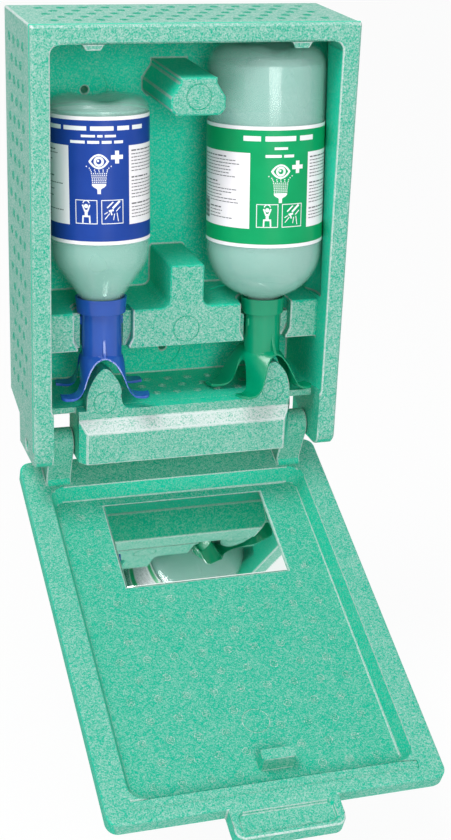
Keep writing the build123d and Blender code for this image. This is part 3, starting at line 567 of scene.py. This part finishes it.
def ridge(name, path, out, across, half_width, height, material, body):
    """A low ridge along a path of points: at each point its section is a trapezium across the path, half
    as wide on top, that stands out of the surface by the height. Its two ends are closed."""
    path, out, across = np.array(path), np.array(out), np.array(across)
    section = ((-1, -height), (-0.5, height), (0.5, height), (1, -height))
    corners = [path + across * half_width * side + out * rise for side, rise in section]
    points = np.stack(corners, axis=1)
    here, corner = np.meshgrid(np.arange(len(path) - 1) * 4, np.arange(4), indexing="ij")
    after = (corner + 1) % 4
    quads = np.stack([here + corner, here + 4 + corner, here + 4 + after, here + after], axis=-1)
    last = 4 * len(path) - 4
    ends = [[0, 1, 2, 3], [last + 3, last + 2, last + 1, last]]
    foam_relief(name, points, quads.reshape(-1, 4).tolist() + ends, ridge_raised, material, body)


# the ridge takes the vents' finish: plain green without the pale sheen, painted shade for the thin shadow
# line beside the front edge
parting_place, parting_low = case_low.y + 0.0052, -0.150
parting_half_width, parting_height = 0.0006, 0.0003
parting_path = [
    (case_low.x, parting_place, parting_low),
    (case_low.x, parting_place, case_high.z),
    (case_high.x, parting_place, case_high.z),
    (case_high.x, parting_place, parting_low),
]
ridge(
    "case_parting_line", parting_path, [-right, up - right, up + right, right], back,
    parting_half_width, parting_height, vent_slot, "cabinet",
)


# ---------------------------------------------------------------- mirror
# A silvered plate with ground edges, stuck in the lid's pocket on two strips of foam tape. Fingers have
# left it a little uneven in its shine.
def paint_node(node_name, material):
    """Gives a CAD node that stays in view its material."""
    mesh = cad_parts[node_name].data
    mesh.materials.clear()
    mesh.materials.append(material)


silver, tree, shader, place = new_finish("silver")
smudge = clouds(tree, place, 35.0, detail=3.0)
silver_tint = between(tree, smudge, (0.80, 0.88, 0.85), (0.90, 0.94, 0.92))
tree.links.new(silver_tint, shader.inputs["Base Color"])
rough = worked_out(tree, "MULTIPLY_ADD", smudge, 0.05, 0.005)
tree.links.new(rough, shader.inputs["Roughness"])
shader.inputs["Metallic"].default_value = 1
paint_node("mirror_plate", silver)

foam_tape, tree, shader, place = new_finish("foam_tape")
cells = add_node(tree, "ShaderNodeTexVoronoi", {"Vector": place, "Scale": 2500.0})
tape_tint = between(tree, cells.outputs["Distance"], (0.72, 0.72, 0.70), (0.88, 0.88, 0.86))
tree.links.new(tape_tint, shader.inputs["Base Color"])
shader.inputs["Roughness"].default_value = 0.85
paint_node("mirror_tape", foam_tape)


# ---------------------------------------------------------------- bottles
# Two blow-moulded bottles of milky polyethylene stand base up and lean back by five degrees. Each has a
# straight body with a fine seam on both sides, and a base with a round hollow and a groove across it.
bottle_lean = np.radians(5)
bottle_axis = np.array([0, np.sin(bottle_lean), np.cos(bottle_lean)])
bottle_front = np.array([0, -np.cos(bottle_lean), np.sin(bottle_lean)])
bottle_side = np.array([1.0, 0, 0])
# heights along the axis from the level that both labels' heights are measured from; the label's own
# middle is turned from the front by the facing angle
bottle_sizes = {
    "small": {
        "neck": 0.01322, "radius": 0.0366, "mouth": 0.0073,
        "shoulder": (0.0202, 0.0538), "shoulder_round": 0.030,
        "base": 0.1717, "base_round": 0.0095, "hollow": 0.0040,
        "label": (0.0700, 0.1605), "facing": -0.237,
    },
    "large": {
        "neck": 0.01172, "radius": 0.0437, "mouth": -0.0007,
        "shoulder": (0.0170, 0.0320), "shoulder_round": 0.038,
        "base": 0.2065, "base_round": 0.0160, "hollow": 0.0060,
        "label": (0.0630, 0.1510), "facing": -0.065,
    },
}
bottle_wall = 0.0013
neck_round, base_rim, hollow_rows = 0.003, 0.003, 9
below_label, above_label = 0.004, 0.003


def rounded_line(corners, steps=9):
    """A line through corners given as (radius, height, rounding): each rounded corner becomes an arc
    that touches both of its sides."""
    points = [np.array(corners[0][:2])]
    for before, corner, after in zip(corners, corners[1:], corners[2:]):
        here = np.array(corner[:2])
        rounding = corner[2]
        towards = np.array(before[:2]) - here
        onwards = np.array(after[:2]) - here
        towards /= np.linalg.norm(towards)
        onwards /= np.linalg.norm(onwards)
        half_angle = np.arccos(np.clip(towards @ onwards, -1, 1)) / 2
        nearly_straight = half_angle > 1.55
        if rounding == 0 or nearly_straight:
            points.append(here)
            continue
        bisector = (towards + onwards) / np.linalg.norm(towards + onwards)
        centre = here + bisector * rounding / np.sin(half_angle)
        reach = rounding / np.tan(half_angle)
        start, end = here + towards * reach - centre, here + onwards * reach - centre
        share = np.linspace(0, 1, steps)[:, None]
        arc = start * (1 - share) + end * share
        points.extend(centre + arc / np.linalg.norm(arc, axis=1)[:, None] * rounding)
    points.append(np.array(corners[-1][:2]))
    return np.array(points)


def bottle_profile(sizes, inset):
    """Radius and height of the bottle's skin, inset from its outside, from the mouth to the base's
    middle. The base's hollow is a parabola."""
    radius, base = sizes["radius"] - inset, sizes["base"] - inset
    rim = radius - sizes["base_round"] - base_rim
    line = rounded_line([
        (sizes["neck"] - inset, sizes["mouth"], 0),
        (sizes["neck"] - inset, sizes["shoulder"][0], neck_round + inset),
        (radius, sizes["shoulder"][1], sizes["shoulder_round"] - inset),
        (radius, sizes["label"][0] - below_label, 0),
        (radius, sizes["label"][1] + above_label, 0),
        (radius, base, sizes["base_round"] - inset),
        (rim, base, 0),
    ])
    reach = np.linspace(1, 0, hollow_rows)[1:]
    hollow = np.column_stack([rim * reach, base - sizes["hollow"] * (1 - reach**2)])
    return np.vstack([line, hollow])


def round_mesh(name, foot, profile, angles, shape=None):
    """The mesh swept by a profile of radii and heights round the bottles' axis from a foot point. Its
    ends lie on the axis or meet each other. The shape changes radii and heights, given both and the
    angle."""
    radii = np.repeat(profile[:, :1], len(angles), axis=1)
    heights = np.repeat(profile[:, 1:], len(angles), axis=1)
    if shape:
        radii, heights = shape(radii, heights, angles[None, :])
    points = (
        foot
        + (radii * np.sin(angles))[..., None] * bottle_side
        + (radii * np.cos(angles))[..., None] * bottle_front
        + heights[..., None] * bottle_axis
    )
    rows, columns = radii.shape
    row, column = np.meshgrid(np.arange(rows - 1), np.arange(columns), indexing="ij")
    here, after = row * columns + column, row * columns + (column + 1) % columns
    faces = np.stack([here, after, after + columns, here + columns], axis=-1)
    mesh = bpy.data.meshes.new(name)
    mesh.from_pydata(points.reshape(-1, 3).tolist(), [], faces.reshape(-1, 4).tolist())
    form = bmesh.new()
    form.from_mesh(mesh)
    bmesh.ops.remove_doubles(form, verts=form.verts, dist=1e-7)
    form.to_mesh(mesh)
    form.free()
    mesh.shade_smooth()
    mesh.set_sharp_from_angle(angle=np.radians(40))
    return mesh


def round_angles(count):
    """Equal steps of angle once round the axis."""
    return np.linspace(0, 2 * np.pi, count, endpoint=False)


seam_offsets = np.array([-0.014, -0.007, 0.007, 0.014])
bottle_angles = np.sort(np.concatenate([
    round_angles(96), np.pi / 2 + seam_offsets, 1.5 * np.pi + seam_offsets
]))


def label_foot(size):
    """The point on the bottle's axis that its heights are measured from."""
    low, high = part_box(size + "_label")
    return np.array((low + high) / 2) - bottle_axis * np.mean(bottle_sizes[size]["label"])


def milky_plastic():
    """Unpigmented polyethylene: half clear, slow clouds in its haze and a soft ripple in its skin. Its
    milky white is its own; its green tint is painted light, the foam's green seen through and thrown back
    into it.
    """
    material, tree, shader, place = new_finish("milky_plastic")
    haze = clouds(tree, place, 22.0)
    # the green in these tints is painted light from the foam round the bottles
    milk_and_foam_light = between(tree, haze, (0.42, 0.84, 0.72), (0.66, 0.94, 0.86))
    tree.links.new(milk_and_foam_light, shader.inputs["Base Color"])
    rough = worked_out(tree, "MULTIPLY_ADD", clouds(tree, place, 260.0), 0.10, 0.10)
    tree.links.new(rough, shader.inputs["Roughness"])
    shader.inputs["Alpha"].default_value = 0.25
    shader.inputs["Specular IOR Level"].default_value = 0.8
    add_relief(tree, shader, haze, 0.25, 0.002)
    return material


def seam_and_groove(sizes):
    """What the mould's seam and the base's groove do to a bottle of these sizes."""
    seam_height, seam_share, above_neck = 0.00012, 5e-5, 0.002
    groove_depth, groove_reach = 0.0025, 0.011

    def shape(radii, heights, angles):
        """The seam raises the radius where the sine of the angle nears 1 or -1. The groove lowers the
        height by a bell of the fourth power across it, eased in from the base's rounding."""
        seam = np.clip(1 - np.abs(np.abs(np.sin(angles)) - 1) / seam_share, 0, 1)
        rise = np.clip((heights - sizes["base"] + sizes["base_round"]) / sizes["base_round"], 0, 1)
        across = radii * np.sin(angles) / groove_reach
        groove = groove_depth * np.exp(-across**4) * rise**2 * (3 - 2 * rise)
        on_body = radii > sizes["neck"] + above_neck
        return radii + seam_height * seam * on_body, heights - groove

    return shape


bottle_plastic = milky_plastic()
for size, sizes in bottle_sizes.items():
    inner, outer = bottle_profile(sizes, bottle_wall)[::-1], bottle_profile(sizes, 0)
    bottle_mesh = round_mesh(
        size + "_bottle_skin", label_foot(size), np.vstack([inner, outer]),
        bottle_angles, seam_and_groove(sizes),
    )
    add_piece(
        bottle_mesh, (bottle_plastic,), size + "_bottle", size + "_bottle"
    )


# ---------------------------------------------------------------- wash solution
# Clear sterile solution fills each bottle up to a flat level, with some air under the base. It goes in
# through the mouth, before the mouth is sealed with film.
air_gap, liquid_gap, below_level = 0.014, 0.0003, 0.0002

liquid, tree, shader, place = new_finish("wash_solution")
liquid_tint = between(
    tree, clouds(tree, place, 18.0, detail=1.0), (0.42, 0.86, 0.74), (0.62, 0.94, 0.86)
)
tree.links.new(liquid_tint, shader.inputs["Base Color"])
shader.inputs["Roughness"].default_value = 0.06
shader.inputs["Alpha"].default_value = 0.32

for size, sizes in bottle_sizes.items():
    level, mouth = sizes["base"] - air_gap, sizes["mouth"] + liquid_gap
    profile = bottle_profile(sizes, bottle_wall + liquid_gap)
    wet = profile[profile[:, 1] < level - below_level]
    wet = wet[: np.argmax(wet[:, 1]) + 1]
    edge = wet[-1, 0]
    if sizes["base_round"] > air_gap:
        edge = np.interp(level, profile[:-hollow_rows, 1], profile[:-hollow_rows, 0])
    wet[0, 1] = mouth
    wet = np.vstack([[0, mouth], wet, [edge, level], [edge * 0.5, level], [0, level]])
    solution = round_mesh(size + "_solution_body", label_foot(size), wet, round_angles(72))
    add_piece(solution, (liquid,), size + "_bottle", size + "_solution")


# ---------------------------------------------------------------- labels
# A printed film goes round each bottle: coloured bands and a coloured middle with white signs for eye,
# shower and first aid, and two white panels with rows of grey marks that stand for small print.
label_base, label_gap = 0.0003, 0.0001
ink_step = 0.00004
mm = 0.001


def inked(name, colour, light, roughness):
    """Glossy printed film: two close tones in slow clouds and a fine screen of dots in the gloss."""
    material, tree, shader, place = new_finish(name)
    tone = between(tree, clouds(tree, place, 60.0), colour, light)
    tree.links.new(tone, shader.inputs["Base Color"])
    screen = add_node(tree, "ShaderNodeTexVoronoi", {"Vector": place, "Scale": 1800.0})
    rough = worked_out(tree, "MULTIPLY_ADD", screen.outputs["Distance"], 0.08, roughness)
    tree.links.new(rough, shader.inputs["Roughness"])
    shader.inputs["Specular IOR Level"].default_value = 0.15
    return material


class Print:
    """Flat shapes in millimetres round the label (u, right of its middle) and up it (v), each laid on
    the bottle at its layer's height. Layer 0 is the colour on the film, and 1 and 2 lie on it."""

    def __init__(self, size):
        self.size, self.sizes = size, bottle_sizes[size]
        self.points, self.faces, self.inks = [], [], []
        self.count = 0

    def strip(self, left, right, ink, layer=1):
        """Quads between two rows of (u, v) points, of which the second lies right of or above the
        first."""
        rows = len(left)
        here = np.arange(rows - 1)
        corners = np.vstack([left, right])
        self.points.append(np.column_stack([corners, np.full(2 * rows, layer)]))
        quads = np.column_stack([here, here + rows, here + rows + 1, here + 1]) + self.count
        self.faces += quads.tolist()
        self.inks += [ink] * len(quads)
        self.count += 2 * rows

    def block(self, u0, u1, v0, v1, ink, layer=1):
        """A rectangle, cut into columns at most 1.5 mm wide so that it follows the bottle."""
        u = np.linspace(u1, u0, max(2, int(np.ceil(abs(u1 - u0) / 1.5)) + 1))
        low, high = (np.column_stack([u, np.full(len(u), v)]) for v in (v0, v1))
        self.strip(low, high, ink, layer)

    def ring(self, u, v, outer, inner, ink, power=0, squash=1.0, arc=(0, 2 * np.pi)):
        """A ring or a disc; with a power above 0 it is a pointed oval like an eye's outline, because its
        height is the sine of the angle times that sine's size to the power."""
        turn = np.linspace(*arc, 37)
        rise = np.sin(turn) * np.abs(np.sin(turn)) ** power * squash
        shape = np.column_stack([np.cos(turn), rise])
        middle = np.array([u, v])
        self.strip(middle + shape * inner, middle + shape * outer, ink)

    def stroke(self, start, end, width, ink):
        """A straight stroke with square ends."""
        start, end = np.array(start, float), np.array(end, float)
        along = end - start
        side = np.array([along[1], -along[0]]) / np.linalg.norm(along) * width / 2
        line = start + along * np.linspace(0, 1, 5)[:, None]
        self.strip(line - side, line + side, ink)

    def words(self, u0, u1, v, height, ink, rng):
        """A row of plain bars of unequal length, which stands for a line of print."""
        u = u0
        while u < u1 - 2 * height:
            end = min(u + height * rng.uniform(2.2, 6.5), u1)
            self.block(u, end, v, v + height, ink)
            u = end + height * 0.9

    def mesh(self, name):
        """Lays all shapes on the bottle and makes one mesh of them: u over the film's radius is an
        angle, v a height on the axis, and the layer a step of the radius."""
        points = np.vstack(self.points)
        film_radius = self.sizes["radius"] + label_base
        radius = film_radius + ink_step * (points[:, 2] + 1)
        angle = self.sizes["facing"] + points[:, 0] * mm / film_radius
        height = self.sizes["label"][0] + points[:, 1] * mm
        foot = label_foot(self.size)
        placed = (
            foot
            + (radius * np.sin(angle))[:, None] * bottle_side
            + (radius * np.cos(angle))[:, None] * bottle_front
            + height[:, None] * bottle_axis
        )
        mesh = bpy.data.meshes.new(name)
        mesh.from_pydata(placed.tolist(), [], self.faces)
        mesh.polygons.foreach_set("material_index", np.array(self.inks))
        form = bmesh.new()
        form.from_mesh(mesh)
        foot, axis = Vector(foot), Vector(bottle_axis)
        for face in form.faces:
            out = face.calc_center_median() - foot
            out -= axis * out.dot(axis)
            if face.normal.dot(out) < 0:
                face.normal_flip()
        form.to_mesh(mesh)
        form.free()
        mesh.shade_smooth()
        return mesh


film = inked("label_film", (0.90, 0.85, 0.88), (0.95, 0.90, 0.93), 0.16)
white_ink = inked("white_ink", (0.80, 0.82, 0.84), (0.88, 0.89, 0.90), 0.20)
grey_ink = inked("grey_ink", (0.10, 0.10, 0.11), (0.20, 0.20, 0.21), 0.30)
blue_ink = inked("blue_ink", (0.010, 0.045, 0.270), (0.016, 0.062, 0.340), 0.26)
green_ink = inked("green_ink", (0.002, 0.290, 0.095), (0.004, 0.360, 0.130), 0.26)
# the numbers of a print's inks
colour, white, grey = 0, 1, 2
# the print's sizes are in millimetres; a heading is given as half its length, how far its foot lies from
# the label's upper edge, and the height of its bars
border, panel_low, column, panel, label_lap = 2.6, 14.0, 22.7, 60.0, 1.5
prints = {
    "small": {
        "ink": blue_ink, "panel_high": 70.0, "eye": 59.5, "seed": 7,
        "headings": ((44, -9.6, 3.0), (12.5, -14.2, 1.7), (21, -18.6, 2.0)),
    },
    "large": {
        "ink": green_ink, "panel_high": 69.0, "eye": 56.0, "seed": 8,
        "headings": ((28, -10.4, 3.6), (5, -16.4, 1.8), (11.5, -22.0, 2.0)),
    },
}


def eye_sign(art, eye):
    """An eye with its iris at the height called eye, over a spray of dots from a shower head, with a
    cross beside it."""
    art.ring(0, eye, 7.3, 5.5, white, power=0.8, squash=0.72)
    art.ring(0, eye, 3.6, 1.9, white)
    art.ring(-0.5, eye + 0.5, 0.8, 0.01, white)
    spray_halves = (8.8, 6.9, 6.0, 5.6, 5.3, 5.1, 4.9, 4.8, 4.7, 4.6)
    for row, half in enumerate(spray_halves):
        dots = (-half, half) if row < 2 else np.linspace(-half, half, 5 if row < 4 else 8)
        for u in dots:
            art.ring(u + 0.2 * (row % 2), eye - 3.4 - 1.25 * row, 0.42, 0.01, white)
    head = eye - 15.6
    head_levels = head + np.array([0, -1.2, -2.4, -3.4, -4.1, -7.2])
    head_halves = np.array([5.0, 5.0, 3.9, 2.0, 1.25, 1.2])
    for share in np.arange(-4, 4) / 4:
        left = np.column_stack([head_halves * share, head_levels])
        right = np.column_stack([head_halves * (share + 0.25), head_levels])
        art.strip(left, right, white)
    middle, arm, half_arm = 13.2, 4.5, 1.5
    for half, low, high in ((arm, 1.4, 4.4), (half_arm, -1.6, 1.4), (half_arm, 4.4, 7.4)):
        art.block(middle - half, middle + half, eye + low, eye + high, white)


def framed_signs(art, low):
    """Two framed signs that stand on the low level: a rinsing figure, and a hand under a stream."""
    high, edge = low + 17.2, 0.55
    for u0, u1 in ((-17.6, -1.4), (1.4, 17.6)):
        art.block(u0, u1, low, low + edge, white)
        art.block(u0, u1, high - edge, high, white)
        art.block(u0, u0 + edge, low + edge, high - edge, white)
        art.block(u1 - edge, u1, low + edge, high - edge, white)
    figure, hand, sill = -9.5, 9.5, low + edge
    art.ring(figure, sill + 14.0, 2.6, 1.9, white, arc=(0.15, np.pi - 0.15))
    art.ring(figure, sill + 12.3, 1.5, 0.01, white)
    for side in (-1, 1):
        shoulder, elbow = (figure + side * 2.7, sill + 13.2), (figure + side * 0.9, sill + 8.4)
        art.stroke(shoulder, elbow, 1.1, white)
        hip, heel = (figure + side * 2.4, sill + 4.6), (figure + side * 2.6, sill + 0.2)
        art.stroke(hip, heel, 1.1, white)
    art.block(figure - 1.1, figure + 1.1, sill + 5.6, sill + 9.6, white)
    art.block(figure - 2.9, figure + 2.9, sill + 4.4, sill + 5.6, white)
    # the forearm, the palm, the fingers and the stream, each as start, end and width
    for start, end, width in (
        ((-4.0, 11.0), (0.5, 15.2), 1.0), ((0.0, 10.6), (5.4, 15.6), 1.6), ((2.6, 8.4), (5.8, 11.6), 0.7),
        ((-2.8, 8.6), (0.8, 9.4), 1.5), ((-0.6, 5.8), (-1.4, 8.6), 1.0), ((-6.0, 6.6), (-3.6, 8.0), 0.6),
        ((-5.6, 3.0), (-2.2, 7.0), 0.6), ((0.6, 2.2), (1.4, 6.8), 0.6), ((4.2, 1.2), (3.2, 7.4), 0.6),
    ):
        art.stroke((hand + start[0], sill + start[1]), (hand + end[0], sill + end[1]), width, white)


def small_print(art, size, panel_high, rng):
    """Rows of grey bars on both white panels: blocks of seven rows under a bolder first one. The large
    bottle's left panel keeps room for its block of squares."""
    line_pitch, rows_to_a_block = 2.35, 8
    code_size, code_pitch, square = 15.0, 3.6, 1.6
    for side in (-1, 1):
        start = column + 2.2 if side > 0 else -column - panel + 3.0
        for row in range(int((panel_high - panel_low - 6) / line_pitch)):
            v = panel_high - 4.2 - line_pitch * row
            if row % rows_to_a_block == rows_to_a_block - 1:
                continue
            bold = row % rows_to_a_block == 0
            reach = panel - 8 - rng.uniform(0, 34 if bold else 26)
            beside_code = size == "large" and side < 0 and v < panel_low + 20
            indent = 18.0 if beside_code else 0.0
            bar_height = 0.95 if bold else 0.62
            art.words(start + indent, start + max(reach, indent + 14), v, bar_height, grey, rng)
    if size == "large":
        code_left, code_low = -column - panel + 4.0, panel_low + 4.0
        art.block(code_left, code_left + code_size, code_low, code_low + code_size, grey)
        for u in np.arange(code_left + 2.0, code_left + 13.0, code_pitch):
            for v in np.arange(code_low + 2.0, code_low + 13.0, code_pitch):
                art.block(u, u + square, v, v + square, white, 2)


for size, look in prints.items():
    sizes, panel_high = bottle_sizes[size], look["panel_high"]
    low, high = sizes["label"]
    inner, outer = sizes["radius"] + label_gap, sizes["radius"] + label_base
    section = np.array([[inner, low], [outer, low], [outer, high], [inner, high], [inner, low]])
    label = round_mesh(size + "_label_film", label_foot(size), section, round_angles(128))
    add_piece(label, (film,), size + "_bottle", size + "_label")

    tall, half_way = (high - low) / mm, np.pi * outer / mm - label_lap
    art = Print(size)
    art.block(-half_way, half_way, border, panel_low, colour, 0)
    art.block(-half_way, half_way, panel_high, tall - border, colour, 0)
    art.block(-column, column, panel_low, panel_high, colour, 0)
    for side in (-1, 1):
        art.block(side * (column + panel), side * half_way, panel_low, panel_high, colour, 0)
    rng = np.random.default_rng(look["seed"])
    for half, below_top, bar_height in look["headings"]:
        art.words(-half, half, tall + below_top, bar_height, white, rng)
    eye_sign(art, look["eye"])
    framed_signs(art, panel_low + 1.2)
    small_print(art, size, panel_high, rng)
    print_mesh = art.mesh(size + "_label_print")
    add_piece(print_mesh, (look["ink"], white_ink, grey_ink), size + "_bottle")


# ---------------------------------------------------------------- eye cups
# Each is moulded in one shot of glossy plastic, blue or green to match its label, with a faint flow
# pattern and softly rounded edges.
cup_sharp, cup_narrowest, cup_rounding, cup_most_corners = np.radians(35), 0.0008, 0.00025, 30
foot_drop, foot_back, foot_front, foot_inwards = 0.033, 0.28, 0.34, 0.10


def glossy_plastic(name, colour, light):
    """Moulded plastic: two close tones in slow clouds, and a fine ripple in the gloss."""
    material, tree, shader, place = new_finish(name)
    flow = clouds(tree, place, 40.0)
    tree.links.new(between(tree, flow, colour, light), shader.inputs["Base Color"])
    rough = worked_out(tree, "MULTIPLY_ADD", clouds(tree, place, 300.0), 0.12, 0.16)
    tree.links.new(rough, shader.inputs["Roughness"])
    add_relief(tree, shader, flow, 0.15, 0.001)
    return material


def spread_feet(mesh, size, turn, crown):
    """Moves a cup's feet outwards: the lower a point lies under the arch's crown, by a smooth step, the
    farther it goes to the front or the back and the nearer it comes to the middle from the sides."""
    points = np.empty(len(mesh.vertices) * 3)
    mesh.vertices.foreach_get("co", points)
    points = points.reshape(-1, 3)
    from_foot = points - label_foot(size)
    cup_right = bottle_side * np.cos(turn) - bottle_front * np.sin(turn)
    cup_back = -bottle_front * np.cos(turn) - bottle_side * np.sin(turn)
    across, deep, high = from_foot @ cup_right, from_foot @ cup_back, from_foot @ bottle_axis
    share = np.clip((crown - high) / foot_drop, 0, 1)
    share = share * share * (3 - 2 * share)
    outwards = np.where(deep > 0, deep * foot_back, deep * foot_front) * share
    inwards = across * foot_inwards * share
    points += outwards[:, None] * cup_back - inwards[:, None] * cup_right
    mesh.vertices.foreach_set("co", points.ravel())


blue_plastic = glossy_plastic("blue_plastic", (0.012, 0.060, 0.330), (0.020, 0.100, 0.470))
green_plastic = glossy_plastic("green_plastic", (0.000, 0.235, 0.110), (0.000, 0.330, 0.165))
cups = (
    ("small", blue_plastic, "blue_plastic", np.radians(-6), -0.014),
    ("large", green_plastic, "green_plastic", np.radians(18), -0.020),
)
for size, plastic, slot, turn, crown in cups:
    node = size + "_eye_cup"
    cup_mesh = whole_mesh(node, cup_sharp, cup_narrowest, cup_rounding, cup_most_corners)
    spread_feet(cup_mesh, size, turn, crown)
    cup = add_piece(cup_mesh, (plastic,), "cabinet", node)
    round_edges(cup, cup_rounding)


# ---------------------------------------------------------------- seal rings, spray inserts and membranes
# Inside each collar a soft ring seals the neck; below it a pressed-in spray insert spreads the stream,
# and a film over the bottle's mouth breaks at the first turn.
def plain_plastic(name, colour, light, roughness):
    """Plain moulded plastic or rubber with a fine grain in its colour and its relief."""
    material, tree, shader, place = new_finish(name)
    grain = clouds(tree, place, 600.0)
    tree.links.new(between(tree, grain, colour, light), shader.inputs["Base Color"])
    shader.inputs["Roughness"].default_value = roughness
    add_relief(tree, shader, grain, 0.2, 0.0003)
    return material


rubber = plain_plastic("seal_rubber", (0.010, 0.010, 0.011), (0.030, 0.030, 0.032), 0.7)
insert_plastic = plain_plastic("insert_plastic", (0.70, 0.70, 0.70), (0.82, 0.82, 0.82), 0.4)
sealing_film = plain_plastic("membrane_film", (0.72, 0.73, 0.72), (0.86, 0.87, 0.86), 0.25)
for size in bottle_sizes:
    paint_node(size + "_seal_ring", rubber)
    paint_node(size + "_spray_insert", insert_plastic)
    paint_node(size + "_membrane", sealing_film)
